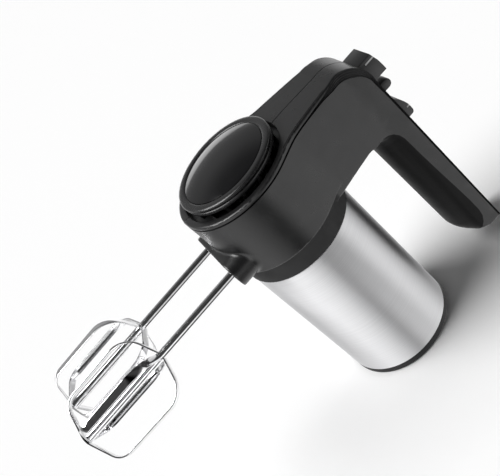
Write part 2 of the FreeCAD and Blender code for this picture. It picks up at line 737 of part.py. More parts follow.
def speed_switch():
    """Fixed body of the slide switch, with the channel its contact runs in."""
    body = block(-8.0, 8.0, 82.0, 87.9, 125.0, EJECT_Z0 - 0.5)
    channel = block(-3.4, 3.4, 86.9, 89.0, KNOB_Z0 - KNOB_DOWN, KNOB_Z1 - 1 + KNOB_UP + 0.5)
    return body.cut(channel)


def turbo_button():
    """Long low dome with a flange behind the shell."""
    outline = [(101.8, TURBO_Z0), (92.9, TURBO_Z0), (92.9, TURBO_Z1), (94.2, TURBO_Z1)]
    crown = Part.Arc(V(0, 94.2, TURBO_Z1), V(0, 101.5, 124.0), V(0, 103.0, 115.2)).toShape()
    points = [V(0, 103.0, 115.2)] + [V(0, y, z) for y, z in outline]
    walls = Part.makePolygon(points)
    dome = Part.Face(Part.Wire([crown] + walls.Edges)).extrude(V(2 * TURBO_HALF, 0, 0))
    dome.translate(V(-TURBO_HALF, 0, 0))
    core = block(-TURBO_HALF, TURBO_HALF, 90.2, 93.5, TURBO_Z0, 128.5)
    flange = block(-TURBO_HALF - 1.4, TURBO_HALF + 1.4, 90.2, 92.2, TURBO_Z0 - 1.4, 128.5)
    stem = rod_y(1.5, 86.4, 91.0, 0.0, 117.0)
    return fuse([dome, core, flange, stem])


def turbo_spring():
    """Return spring round the button's stem."""
    spring = coil_spring(2.6, 0.35, 5.4, 4)
    spring.rotate(V(0, 0, 0), X_AXIS, -90.0)
    spring.translate(V(0, 84.7, 117.0))
    return spring


def turbo_switch():
    """Micro-switch under the turbo button, soldered to the board."""
    return block(-6.5, 6.5, 80.0, 84.2, 110.0, 123.0).cut(rod_y(1.9, 82.0, 85.0, 0.0, 117.0))


def circuit_board():
    """Speed control board, with its heat sink and capacitor."""
    board = block(-11.0, 11.0, 78.4, 80.0, 60.0, 123.5)
    board = board.cut(rod_x(4.6, -20, 20, 83.5, 96.0))
    sink = block(-9.0, 9.0, 80.0, 84.0, 62.0, 76.0)
    for z in (65.0, 69.0, 73.0):
        sink = sink.cut(block(-10.0, 10.0, 81.5, 85.0, z - 1.0, z + 1.0))
    capacitor = rod_y(4.0, 80.0, 88.0, 3.0, 84.0)
    return board.fuse(sink).fuse(capacitor)


def inlet_bush():
    """Square bush for the mains lead, held by its flange between the shells."""
    z1 = INLET_Z0 + INLET_LENGTH
    neck = block(-BUSH_HALF, BUSH_HALF, INLET_Y - BUSH_HALF, INLET_Y + BUSH_HALF, INLET_Z0, z1)
    half = BUSH_HALF + 0.8
    flange = block(-half, half, INLET_Y - half, INLET_Y + half, INLET_Z0 + 3.4, INLET_Z0 + 5.6)
    return neck.fuse(flange).cut(rod(INLET_R, INLET_Z0 - 1, z1 + 1, 0.0, INLET_Y))


def housing_screws():
    """Screws that go in from the left shell."""
    screws = []
    for y, z in screw_places():
        screw = rod_x(1.3, -13.5, 10.0, y, z).fuse(rod_x(2.6, -14.8, -13.0, y, z))
        screw = screw.cut(block(-15.5, -14.0, y - 2.0, y + 2.0, z - 0.4, z + 0.4))
        screws.append(screw)
    return Part.makeCompound(screws)


def base_screws():
    """Screws up through the base cap into the motor bracket."""
    screws = []
    for y in (-BASE_SCREW_Y, BASE_SCREW_Y):
        screw = rod(1.3, 1.0, 15.5, 0.0, y).fuse(rod(2.6, 0.6, 2.4, 0.0, y))
        screws.append(screw.cut(block(-3, 3, y - 0.4, y + 0.4, 0.0, 1.3)))
    return Part.makeCompound(screws)


# ---------------------------------------------------------------- output

def all_parts():
    left, right = housing_halves()
    gear_right = worm_gear_right()
    parts = {
        "housing_left": left,
        "housing_right": right,
        "motor_sleeve": motor_sleeve(),
        "base_cap": base_cap(),
        "base_screws": base_screws(),
        "housing_screws": housing_screws(),
        "inlet_bush": inlet_bush(),
        "disc_carrier": disc_carrier(),
        "disc_lens": disc_lens(),
        "lower_bracket": lower_bracket(),
        "lower_bearing": lower_bearing(),
        "stator_core": stator_core(),
        "field_coils": field_coils(),
        "motor_studs": motor_studs(),
        "brush_holders": brush_holders(),
        "carbon_brushes": carbon_brushes(),
        "brush_springs": brush_springs(),
        "gear_frame": gear_frame(),
        "gear_cover": gear_cover(),
        "gear_cover_screws": cover_screws(),
        "upper_bearing": upper_bearing(),
        "spindle_bushes": spindle_bushes(),
        "speed_switch": speed_switch(),
        "turbo_switch": turbo_switch(),
        "circuit_board": circuit_board(),
        "motor_shaft": motor_shaft(),
        "armature_core": armature_core(),
        "armature_winding": armature_winding(),
        "commutator": commutator(),
        "cooling_fan": cooling_fan(),
        "worm_gear_right": gear_right,
        "worm_gear_left": turned(gear_right, 180.0),
        "eject_button": eject_button(),
        "ejector_fork": ejector_fork(),
        "eject_spring": eject_spring(),
        "speed_knob": speed_knob(),
        "switch_slide": switch_slide(),
        "turbo_button": turbo_button(),
        "turbo_spring": turbo_spring(),
    }
    for name, side in (("left", -1), ("right", 1)):
        parts["port_bush_" + name] = port_bush(side)
        parts["spindle_" + name] = spindle(side)
        parts["spindle_clip_" + name] = spindle_clip(side)
        parts["beater_shaft_" + name] = beater_shaft(side)
        parts["beater_outer_loop_" + name] = beater_loop(side, inner=False)
        parts["beater_inner_loop_" + name] = beater_loop(side, inner=True)
    return parts


def main():
    os.makedirs("parts", exist_ok=True)
    for name, shape in all_parts().items():
        shape.exportStep("parts/" + name + ".step")
        print(name, len(shape.Solids), round(shape.Volume, 1), shape.isValid())


main()
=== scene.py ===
"""Looks of the hand mixer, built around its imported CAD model."""
import json
import math

import bmesh
import bpy
import numpy as np
from mathutils import Matrix, Vector


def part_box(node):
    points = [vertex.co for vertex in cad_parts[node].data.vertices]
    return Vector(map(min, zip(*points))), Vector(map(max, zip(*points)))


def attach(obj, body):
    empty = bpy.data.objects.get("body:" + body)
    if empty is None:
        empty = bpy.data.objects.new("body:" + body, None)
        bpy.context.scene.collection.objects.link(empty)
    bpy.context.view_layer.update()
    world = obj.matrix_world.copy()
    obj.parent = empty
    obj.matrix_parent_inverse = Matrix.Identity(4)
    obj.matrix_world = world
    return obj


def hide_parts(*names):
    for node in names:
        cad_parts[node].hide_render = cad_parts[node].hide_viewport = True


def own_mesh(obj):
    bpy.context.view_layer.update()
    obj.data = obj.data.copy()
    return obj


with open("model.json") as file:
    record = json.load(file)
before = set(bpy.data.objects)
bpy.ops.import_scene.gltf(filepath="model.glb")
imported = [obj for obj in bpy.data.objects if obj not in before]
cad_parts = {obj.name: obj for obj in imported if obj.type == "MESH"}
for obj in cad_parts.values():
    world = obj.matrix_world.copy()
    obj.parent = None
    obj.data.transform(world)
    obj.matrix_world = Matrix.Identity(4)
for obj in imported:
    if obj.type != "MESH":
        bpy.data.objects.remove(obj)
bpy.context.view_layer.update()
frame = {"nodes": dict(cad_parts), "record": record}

MM = 0.001

# The camera's own axes and its place in metres; focal length and film width in millimetres
CAMERA_RIGHT = Vector((0.3952, 0.6580, -0.6410))
CAMERA_UP = Vector((-0.3614, 0.7529, 0.5501))
CAMERA_AT = (0.43063, -0.01521, 0.41029)
FOCAL_LENGTH, FILM_WIDTH = 60.39, 36.0

# Surroundings: grey level by azimuth in degrees, below and above the horizon
WORLD_BELOW = (
    (-180, 0.5), (-150, 0.36), (-118, 0.28), (-92, 0.46), (-75, 0.64), (-57, 0.58), (-38, 0.4),
    (-19, 0.06), (-11, 0.02), (-4, 0.06), (3, 0.46), (12, 0.68), (22, 0.76), (36, 0.66), (60, 0.64),
    (85, 0.5), (105, 0.34), (125, 0.26), (150, 0.4), (180, 0.5),
)
WORLD_ABOVE = (
    (-180, 0.72), (-135, 0.64), (-112, 0.36), (-88, 0.5), (-60, 0.8), (-38, 1.0), (-18, 1.0),
    (-4, 0.4), (8, 0.03), (28, 0.03), (40, 0.4), (52, 0.8), (68, 0.85), (82, 0.5), (98, 0.26),
    (125, 0.3), (150, 0.6), (180, 0.72),
)
WORLD_DEEP = 0.6  # grey level straight down
WORLD_GAIN = 2.0  # radiance of grey level 1
# Share of the level above the horizon that is left, by elevation, toward -X and toward +X
FADE_BEHIND = ((0, 1.0), (7, 1.0), (9.5, 0.27), (20, 0.25), (34, 0.28), (60, 0.12), (80, 0.04))
FADE_AHEAD = ((0, 1.0), (9, 1.0), (16, 0.12), (30, 0.03), (90, 0.03))
# Where one region passes into the next: by the X direction's share, or by elevation
TO_AHEAD = ((0.35, 0), (0.5, 1))
TO_ABOVE = ((-22, 0), (-10, 1))
TO_DEEP = ((-62, 1), (-48, 0))

SUN_AZIMUTH, SUN_ELEVATION, SUN_SPREAD, SUN_STRENGTH = -105.0, 56.0, 42.0, 3.6
FLOOR_HALF = 20.0

# ---------------------------------------------------------------- camera, floor and light

def make_camera():
    """The photograph's angle, with the camera rolled."""
    back = CAMERA_RIGHT.cross(CAMERA_UP)
    data = bpy.data.cameras.new("camera")
    data.lens = FOCAL_LENGTH
    data.sensor_width = FILM_WIDTH
    data.clip_start = 0.01
    data.clip_end = 50.0
    camera = bpy.data.objects.new("camera", data)
    rows = [[CAMERA_RIGHT[k], CAMERA_UP[k], back[k], CAMERA_AT[k]] for k in range(3)]
    camera.matrix_world = Matrix(rows + [[0, 0, 0, 1]])
    bpy.context.scene.collection.objects.link(camera)
    bpy.context.scene.camera = camera


def make_sun():
    """Broad far lamp: soft shadows and the same light all over the floor."""
    data = bpy.data.lights.new("key", "SUN")
    data.angle = math.radians(SUN_SPREAD)
    data.energy = SUN_STRENGTH
    lamp = bpy.data.objects.new("key", data)
    a, e = math.radians(SUN_AZIMUTH), math.radians(SUN_ELEVATION)
    toward = Vector((math.cos(e) * math.cos(a), math.cos(e) * math.sin(a), math.sin(e)))
    lamp.rotation_euler = toward.to_track_quat("Z", "Y").to_euler()
    bpy.context.scene.collection.objects.link(lamp)


def ramp(nodes, links, value, stops):
    """Smooth ramp of grey levels; stops are (place from 0 to 1, level)."""
    node = nodes.new("ShaderNodeValToRGB")
    node.color_ramp.interpolation = "EASE"
    while len(node.color_ramp.elements) < len(stops):
        node.color_ramp.elements.new(0.5)
    for element, (place, level) in zip(node.color_ramp.elements, stops):
        element.position = place
        element.color = (level, level, level, 1)
    links.new(value, node.inputs[0])
    return node.outputs[0]


def operate(nodes, links, kind, *values):
    """Math node of that kind; each value is a socket or a number."""
    node = nodes.new("ShaderNodeMath")
    node.operation = kind
    for socket, value in zip(node.inputs, values):
        if isinstance(value, (int, float)):
            socket.default_value = value
        else:
            links.new(value, socket)
    return node.outputs[0]


def blended(nodes, links, factor, first, second):
    """Mix of two levels, each a socket or a number."""
    node = nodes.new("ShaderNodeMix")
    links.new(factor, node.inputs["Factor"])
    for name, value in (("A", first), ("B", second)):
        if isinstance(value, (int, float)):
            node.inputs[name].default_value = value
        else:
            links.new(value, node.inputs[name])
    return node.outputs["Result"]


def make_world():
    """Studio surroundings: pale paper below, a bright horizon, a dim ceiling and darker strips."""
    world = bpy.data.worlds.new("studio")
    bpy.context.scene.world = world
    world.use_nodes = True
    nodes, links = world.node_tree.nodes, world.node_tree.links
    nodes.clear()
    out = nodes.new("ShaderNodeOutputWorld")
    glow = nodes.new("ShaderNodeBackground")
    coord = nodes.new("ShaderNodeTexCoord")
    split = nodes.new("ShaderNodeSeparateXYZ")
    links.new(coord.outputs["Generated"], split.inputs[0])
    turn = operate(nodes, links, "ARCTAN2", split.outputs["Y"], split.outputs["X"])
    azimuth = operate(nodes, links, "MULTIPLY_ADD", turn, 0.5 / math.pi, 0.5)
    rise = operate(nodes, links, "ARCSINE", split.outputs["Z"])
    height = operate(nodes, links, "MULTIPLY_ADD", rise, 1 / math.pi, 0.5)

    def by_azimuth(stops):
        return ramp(nodes, links, azimuth, [((a + 180) / 360, level) for a, level in stops])

    def by_elevation(stops):
        return ramp(nodes, links, height, [((e + 90) / 180, level) for e, level in stops])

    forward = operate(nodes, links, "MULTIPLY_ADD", split.outputs["X"], 0.5, 0.5)
    ahead = ramp(nodes, links, forward, TO_AHEAD)
    fade = blended(nodes, links, ahead, by_elevation(FADE_BEHIND), by_elevation(FADE_AHEAD))
    upper = operate(nodes, links, "MULTIPLY", by_azimuth(WORLD_ABOVE), fade)
    lower = blended(nodes, links, by_elevation(TO_DEEP), by_azimuth(WORLD_BELOW), WORLD_DEEP)
    level = blended(nodes, links, by_elevation(TO_ABOVE), lower, upper)
    links.new(operate(nodes, links, "MULTIPLY", level, WORLD_GAIN), glow.inputs["Color"])
    links.new(glow.outputs[0], out.inputs[0])


def make_floor():
    """Pale paper, left out of the mixer's own reflections."""
    h = FLOOR_HALF
    mesh = bpy.data.meshes.new("floor")
    mesh.from_pydata([(-h, -h, 0), (h, -h, 0), (h, h, 0), (-h, h, 0)], [], [(0, 1, 2, 3)])
    floor = bpy.data.objects.new("floor", mesh)
    floor.visible_glossy = False
    bpy.context.scene.collection.objects.link(floor)
    m = Nodes("floor_paper")
    m.set(Base_Color=(0.9, 0.9, 0.9, 1), Roughness=0.8, Specular_IOR_Level=0.1)
    mesh.materials.append(m.material)


# ---------------------------------------------------------------- materials

class Nodes:
    """A material's node tree with short ways to add and join nodes."""

    def __init__(self, name):
        self.material = bpy.data.materials.new(name)
        self.material.use_nodes = True
        self.tree = self.material.node_tree
        self.bsdf = self.tree.nodes["Principled BSDF"]

    def add(self, kind, **settings):
        node = self.tree.nodes.new(kind)
        for key, value in settings.items():
            setattr(node, key, value)
        return node

    def join(self, a, b):
        self.tree.links.new(a, b)

    def point(self, scale=(1, 1, 1)):
        """Object coordinates times a scale."""
        coord = self.add("ShaderNodeTexCoord")
        mapping = self.add("ShaderNodeMapping")
        mapping.inputs["Scale"].default_value = scale
        self.join(coord.outputs["Object"], mapping.inputs["Vector"])
        return mapping.outputs["Vector"]

    def noise(self, scale=(1, 1, 1), size=1.0, detail=3.0, rough=0.5):
        node = self.add("ShaderNodeTexNoise")
        node.inputs["Scale"].default_value = size
        node.inputs["Detail"].default_value = detail
        node.inputs["Roughness"].default_value = rough
        self.join(self.point(scale), node.inputs["Vector"])
        return node.outputs["Fac"]

    def spread(self, value, low, high, a=0.3, b=0.7):
        """Value from a..b mapped to low..high."""
        node = self.add("ShaderNodeMapRange")
        node.inputs["From Min"].default_value = a
        node.inputs["From Max"].default_value = b
        node.inputs["To Min"].default_value = low
        node.inputs["To Max"].default_value = high
        self.join(value, node.inputs["Value"])
        return node.outputs["Result"]

    def mix(self, fac, first, second):
        node = self.add("ShaderNodeMix", data_type="RGBA")
        node.inputs["A"].default_value = (*first, 1)
        node.inputs["B"].default_value = (*second, 1)
        self.join(fac, node.inputs["Factor"])
        return node.outputs["Result"]

    def bump(self, height, distance):
        """Relief of that depth in metres."""
        node = self.add("ShaderNodeBump")
        node.inputs["Distance"].default_value = distance
        node.inputs["Strength"].default_value = 1.0
        self.join(height, node.inputs["Height"])
        return node.outputs["Normal"]

    def set(self, **values):
        """Sockets of the surface shader, by name."""
        for key, value in values.items():
            self.bsdf.inputs[key.replace("_", " ")].default_value = value


# Noise that all plastics share: colour drift, handling marks and moulded grain
DRIFT = {"size": 30.0, "detail": 4.0}
WEAR = {"size": 85.0, "detail": 6.0, "rough": 0.62}
GRAIN = {"size": 2500.0, "detail": 2.0}
GRAIN_DEPTH, METAL_DEPTH = 0.00003, 0.00001


def plastic(name, colour, rough, grain=GRAIN_DEPTH, gloss=0.5):
    """Moulded plastic: fine grain, faint colour drift, handling marks in the gloss."""
    m = Nodes(name)
    dark = tuple(0.86 * c for c in colour)
    light = tuple(1.14 * c for c in colour)
    m.join(m.mix(m.spread(m.noise(**DRIFT), 0, 1), dark, light), m.bsdf.inputs["Base Color"])
    m.join(m.spread(m.noise(**WEAR), rough - 0.05, rough + 0.07), m.bsdf.inputs["Roughness"])
    m.join(m.bump(m.noise(**GRAIN), grain), m.bsdf.inputs["Normal"])
    m.set(Specular_IOR_Level=gloss)
    return m.material


def metal(name, colour, rough, spread=0.06, size=400.0, stretch=(1, 1, 1)):
    """Bare metal with fine marks in its colour, gloss and relief."""
    m = Nodes(name)
    m.set(Metallic=1.0)
    mark = m.noise(scale=stretch, size=size, detail=5.0, rough=0.6)
    dark = tuple(0.93 * c for c in colour)
    light = tuple(min(1.0, 1.05 * c) for c in colour)
    m.join(m.mix(m.spread(mark, 0, 1), dark, light), m.bsdf.inputs["Base Color"])
    m.join(m.spread(mark, rough - spread / 2, rough + spread), m.bsdf.inputs["Roughness"])
    m.join(m.bump(mark, METAL_DEPTH), m.bsdf.inputs["Normal"])
    return m.material


def brushed_sleeve():
    """Steel brushed round its circumference: thin lines, with the highlight drawn out along Z."""
    m = Nodes("sleeve_steel")
    m.set(Metallic=1.0, Anisotropic=0.85, Anisotropic_Rotation=0.25)
    tangent = m.add("ShaderNodeTangent", direction_type="RADIAL", axis="Z")
    m.join(tangent.outputs[0], m.bsdf.inputs["Tangent"])
    fine = m.noise(scale=(4, 4, 5200), detail=3.0)
    broad = m.noise(scale=(3, 3, 1500), detail=4.0)
    colour = m.mix(m.spread(broad, 0, 1), (0.67, 0.67, 0.68), (0.74, 0.74, 0.75))
    m.join(colour, m.bsdf.inputs["Base Color"])
    m.join(m.spread(fine, 0.4, 0.5), m.bsdf.inputs["Roughness"])
    m.join(m.bump(fine, METAL_DEPTH), m.bsdf.inputs["Normal"])
    return m.material


# Bounds of the matte collar in metres, by radius and by height, each with a short passage
COLLAR_REACH, COLLAR_HEIGHT = (0.0412, 0.0418), (0.1304, 0.1308)
COLLAR_ROUGHER = 0.42


def shell_plastic():
    """Satin black of the housing, with a fine matte texture on the collar under the head."""
    m = Nodes("shell_black")
    coord = m.add("ShaderNodeTexCoord")
    split = m.add("ShaderNodeSeparateXYZ")
    m.join(coord.outputs["Object"], split.inputs[0])
    flat = m.add("ShaderNodeVectorMath", operation="MULTIPLY")
    flat.inputs[1].default_value = (1, 1, 0)
    m.join(coord.outputs["Object"], flat.inputs[0])
    reach = m.add("ShaderNodeVectorMath", operation="LENGTH")
    m.join(flat.outputs[0], reach.inputs[0])
    near = m.spread(reach.outputs["Value"], 1, 0, *COLLAR_REACH)
    foot = m.spread(split.outputs["Z"], 1, 0, *COLLAR_HEIGHT)
    collar = m.add("ShaderNodeMath", operation="MULTIPLY")
    m.join(near, collar.inputs[0])
    m.join(foot, collar.inputs[1])
    matte = collar.outputs[0]
    colour = m.mix(m.spread(m.noise(**DRIFT), 0, 1), (0.0082, 0.0082, 0.0086), (0.011, 0.011, 0.0114))
    tone = m.add("ShaderNodeMix", data_type="RGBA")
    tone.inputs["B"].default_value = (0.014, 0.014, 0.0145, 1)
    m.join(matte, tone.inputs["Factor"])
    m.join(colour, tone.inputs["A"])
    m.join(tone.outputs["Result"], m.bsdf.inputs["Base Color"])
    rough = m.add("ShaderNodeMath", operation="MULTIPLY_ADD", use_clamp=True)
    rough.inputs[1].default_value = COLLAR_ROUGHER
    m.join(matte, rough.inputs[0])
    m.join(m.spread(m.noise(**WEAR), 0.26, 0.36), rough.inputs[2])
    m.join(rough.outputs[0], m.bsdf.inputs["Roughness"])
    m.join(m.bump(m.noise(**GRAIN), GRAIN_DEPTH), m.bsdf.inputs["Normal"])
    return m.material


def make_materials():
    """One material for each of the record's slots, and two of the looks' own."""
    return {
        "shell_black": shell_plastic(),
        "cap_black": plastic("cap_black", (0.006, 0.006, 0.0065), 0.5, gloss=0.3),
        "sleeve_steel": brushed_sleeve(),
        "disc_satin": plastic("disc_satin", (0.012, 0.012, 0.0125), 0.25),
        "lens_black": plastic("lens_black", (0.004, 0.004, 0.0045), 0.09, grain=0.0000015),
        # Darker, duller black of the grip's rounded finger side: painted shade, standing in for its dark
        # reflection
        "grip_painted_shade": plastic(
            "grip_painted_shade", (0.0035, 0.0035, 0.0037), 0.46, grain=0.00005, gloss=0.14
        ),
        "button_black": plastic("button_black", (0.009, 0.009, 0.0095), 0.36),
        "beater_chrome": metal("beater_chrome", (0.83, 0.83, 0.84), 0.07, 0.05),
        "machine_steel": metal("machine_steel", (0.55, 0.55, 0.56), 0.32, 0.1, stretch=(1, 4, 1)),
        "laminations": metal(
            "laminations", (0.2, 0.2, 0.21), 0.5, 0.1, size=60.0, stretch=(1, 1, 60)
        ),
        "copper": metal("copper", (0.72, 0.36, 0.2), 0.35, 0.1),
        "bronze": metal("bronze", (0.5, 0.38, 0.2), 0.5, 0.12),
        "brass_parts": metal("brass_parts", (0.72, 0.56, 0.28), 0.3, 0.1),
        "carbon": plastic("carbon", (0.02, 0.02, 0.02), 0.7),
        "frame_plastic": plastic("frame_plastic", (0.12, 0.12, 0.13), 0.5),
        "gear_plastic": plastic("gear_plastic", (0.74, 0.71, 0.63), 0.42),
        # Light grey of the eject button's band, a painted highlight, and of the turbo button's mark
        "highlight_and_mark_grey": plastic("highlight_and_mark_grey", (0.5, 0.5, 0.5), 0.4),
        "board_green": plastic("board_green", (0.02, 0.13, 0.06), 0.35),
    }


MATERIALS = make_materials()
for part in frame["record"]["subparts"]:
    node = frame["nodes"][part["node"]]
    node.data.materials.clear()
    node.data.materials.append(MATERIALS[part["material_slot"]])

# ---------------------------------------------------------------- mesh helpers (sizes in millimetres)

def mesh_object(name, points, faces, smooth_angle=35.0):
    """New object in the scene; edges sharper than smooth_angle stay sharp."""
    mesh = bpy.data.meshes.new(name)
    mesh.from_pydata([tuple(map(float, p)) for p in points], [], [tuple(map(int, f)) for f in faces])
    mesh.validate()
    obj = added(name, mesh)
    shade(obj, smooth_angle)
    return obj


def added(name, mesh):
    """New object in the scene with that mesh."""
    obj = bpy.data.objects.new(name, mesh)
    bpy.context.scene.collection.objects.link(obj)
    return obj


def shade(obj, angle):
    """Smooth shading, with edges sharper than the angle kept."""
    mesh = obj.data
    mesh.shade_smooth()
    mesh.set_sharp_from_angle(angle=math.radians(angle))


def applied(obj):
    """Bake the object's modifiers into its mesh."""
    graph = bpy.context.evaluated_depsgraph_get()
    mesh = bpy.data.meshes.new_from_object(obj.evaluated_get(graph))
    old = obj.data
    obj.modifiers.clear()
    obj.data = mesh
    bpy.data.meshes.remove(old)


def boolean(obj, cutter, operation="DIFFERENCE", keep=False):
    """Cut the object, then drop the cutter unless it is kept."""
    modifier = obj.modifiers.new("bool", "BOOLEAN")
    modifier.operation = operation
    modifier.solver = "MANIFOLD"
    modifier.object = cutter
    applied(obj)
    if not keep:
        bpy.data.objects.remove(cutter)


def finish_piece(obj, body, slot, *nodes, material=None):
    """Scale to metres, give a material (the slot's own unless named), and stand for the CAD nodes."""
    obj.data.transform(Matrix.Scale(MM, 4))
    obj.data.materials.clear()
    obj.data.materials.append(MATERIALS[material or slot])
    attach(obj, body)
    if nodes:
        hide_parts(*nodes)


def lathe(name, profile, steps, closed=False):
    """Turn a profile of (radius, z) points round the Z axis."""
    angles = [2 * math.pi * k / steps for k in range(steps)]
    points, rings = [], []
    for radius, z in profile:
        if radius < 1e-6:
            rings.append([len(points)] * steps)
            points.append((0.0, 0.0, z))
        else:
            rings.append(list(range(len(points), len(points) + steps)))
            points += [(radius * math.cos(a), radius * math.sin(a), z) for a in angles]
    pairs = list(zip(rings, rings[1:])) + ([(rings[-1], rings[0])] if closed else [])
    faces = []
    for low, high in pairs:
        for k in range(steps):
            n = (k + 1) % steps
            face = [low[k], low[n], high[n], high[k]]
            faces.append([v for i, v in enumerate(face) if v not in face[:i]])
    return mesh_object(name, points, [f for f in faces if len(f) > 2])


def box_object(name, x0, x1, y0, y1, z0, z1):
    """Block between the given planes."""
    points = [(x, y, z) for x in (x0, x1) for y in (y0, y1) for z in (z0, z1)]
    faces = [(0, 1, 3, 2), (4, 6, 7, 5), (0, 4, 5, 1), (2, 3, 7, 6), (0, 2, 6, 4), (1, 5, 7, 3)]
    return mesh_object(name, points, faces)


def extruded(name, outline, x0, x1):
    """Solid between two x planes with the (y, z) outline."""
    count = len(outline)
    points = [(x, y, z) for x in (x0, x1) for y, z in outline]
    faces = [(k, (k + 1) % count, count + (k + 1) % count, count + k) for k in range(count)]
    faces += [tuple(reversed(range(count))), tuple(range(count, 2 * count))]
    obj = mesh_object(name, points, faces)
    outward(obj)
    return obj


def rod_object(name, start, end, radius, steps=48):
    """Cylinder from one point to the other."""
    start, end = Vector(start), Vector(end)
    axis = (end - start).normalized()
    side = axis.orthogonal().normalized()
    other = axis.cross(side)
    points = []
    for base in (start, end):
        for k in range(steps):
            a = 2 * math.pi * k / steps
            points.append(base + radius * (math.cos(a) * side + math.sin(a) * other))
    faces = [(k, (k + 1) % steps, steps + (k + 1) % steps, steps + k) for k in range(steps)]
    faces += [tuple(reversed(range(steps))), tuple(range(steps, 2 * steps))]
    return mesh_object(name, points, faces)


def sweep(name, frames, sections, smooth_angle=35.0):
    """Closed tube through frames (point, outward, upward); each section is a loop of (out, up) offsets."""
    points = []
    size = len(sections[0])
    for (p, out, up), section in zip(frames, sections):
        for o, u in section:
            points.append([p[k] + o * out[k] + u * up[k] for k in range(3)])
    faces = []
    for i in range(len(frames) - 1):
        for k in range(size):
            n = (k + 1) % size
            faces.append((i * size + k, i * size + n, (i + 1) * size + n, (i + 1) * size + k))
    last = (len(frames) - 1) * size
    faces += [tuple(reversed(range(size))), tuple(range(last, last + size))]
    obj = mesh_object(name, points, faces, smooth_angle)
    outward(obj)
    return obj


def outward(obj):
    """Turn all faces outwards."""
    bm = bmesh.new()
    bm.from_mesh(obj.data)
    bmesh.ops.recalc_face_normals(bm, faces=bm.faces)
    bm.to_mesh(obj.data)
    bm.free()


def mirror_copy(obj, name):
    """The same piece for the other side."""
    mesh = obj.data.copy()
    mesh.transform(Matrix.Diagonal((-1, 1, 1, 1)))
    mesh.flip_normals()
    return added(name, mesh)


def thinned(obj, ratio):
    """Keep that share of the faces."""
    modifier = obj.modifiers.new("thin", "DECIMATE")
    modifier.ratio = ratio
    applied(obj)


def bevelled(obj, width, angle=30.0):
    """Round the edges sharper than the angle."""
    modifier = obj.modifiers.new("bevel", "BEVEL")
    modifier.width = width
    modifier.segments = 2
    modifier.limit_method = "ANGLE"
    modifier.angle_limit = math.radians(angle)
    applied(obj)
    shade(obj, 40.0)


def join_boxes(obj, boxes):
    """Add eight-cornered blocks to a mesh."""
    bm = bmesh.new()
    bm.from_mesh(obj.data)
    for corners in boxes:
        v = [bm.verts.new(p) for p in corners]
        for face in ((3, 2, 1, 0), (4, 5, 6, 7), (0, 1, 5, 4), (1, 2, 6, 5), (2, 3, 7, 6), (3, 0, 4, 7)):
            bm.faces.new([v[i] for i in face])
    bm.to_mesh(obj.data)
    bm.free()
    shade(obj, 35.0)


# ---------------------------------------------------------------- housing shells

HEAD_R, HEAD_TOP, HEAD_FOOT = 41.0, 178.5, 131.0
COLLAR_R, COLLAR_TOP, COLLAR_FOOT = 39.5, 136.0, 117.4
ARM_FOOT, ARM_FRONT = 126.0, 5.0
DECK_R, DECK_Z = 36.0, 174.0
NOSE_X, NOSE_Z, NOSE_R, NOSE_FRONT = 19.0, 142.0, 10.0, -45.0
WALL, SEAM = 2.2, 0.12
# Radii of the outer edges, and of the hollows where two forms meet
TOP_ROUND, HEAD_FOOT_ROUND, COLLAR_ROUND, NOSE_ROUND, SEAM_ROUND = 1.2, 0.6, 0.4, 0.9, 0.35
NECK_HOLLOW, NOSE_HOLLOW = 6.0, 1.6
# The crook where grip and arm meet is an arc; below it the finger side leans, and ends in a toe
CROOK_Y, CROOK_Z, CROOK_R = 61.5, 118.0, 8.0
GRIP_LEAN, TOE_TOP = 0.0385, 27.0
# Opening under the deck, where the sleeve's top goes in
THROAT_R, THROAT_FOOT, THROAT_TOP = 36.0, 112.0, 126.0
# Half width of arm and grip, by Y
PLAN_Y = [0, 12, 23, 34, 45, 55, 65, 72, 79, 120]
PLAN_HALF = [31.9, 31.2, 29.6, 27.3, 24.7, 22.6, 20.6, 19.0, 17.5, 17.5]
# Y at which the finger side starts to round, by Z
BULGE_Z = [0, 95.6, 109.0, 115.7, 120.6, 123.3, 124.1, 124.6]
BULGE_Y = [85.4, 85.3, 84.7, 83.5, 80.8, 77.3, 73.3, 66.0]


def smax(a, b, r):
    """Both fields at once, the edge between them rounded to radius r."""
    return np.minimum(np.maximum(a, b), -r) + np.hypot(np.maximum(a + r, 0), np.maximum(b + r, 0))


def smin(a, b, r):
    """Either field, the corner between them filled to radius r."""
    return np.maximum(np.minimum(a, b), r) - np.hypot(np.maximum(r - a, 0), np.maximum(r - b, 0))


def arc_points(a, b, c, count):
    """Points along the circle through a, b and c, from a to c."""
    (ax, ay), (bx, by), (cx, cy) = a, b, c
    d = 2 * (ax * (by - cy) + bx * (cy - ay) + cx * (ay - by))
    ux = ((ax**2 + ay**2) * (by - cy) + (bx**2 + by**2) * (cy - ay) + (cx**2 + cy**2) * (ay - by)) / d
    uy = ((ax**2 + ay**2) * (cx - bx) + (bx**2 + by**2) * (ax - cx) + (cx**2 + cy**2) * (bx - ax)) / d
    start, middle, end = (math.atan2(p[1] - uy, p[0] - ux) for p in (a, b, c))
    turn = (end - start) % (2 * math.pi)
    if (middle - start) % (2 * math.pi) > turn:
        turn -= 2 * math.pi
    radius = math.hypot(ax - ux, ay - uy)
    angles = [start + turn * k / count for k in range(count + 1)]
    return [(ux + radius * math.cos(a), uy + radius * math.sin(a)) for a in angles]


def grip_back(z):
    """Y of the grip's back."""
    return 99.4 - 0.0352 * (z - 11.5)


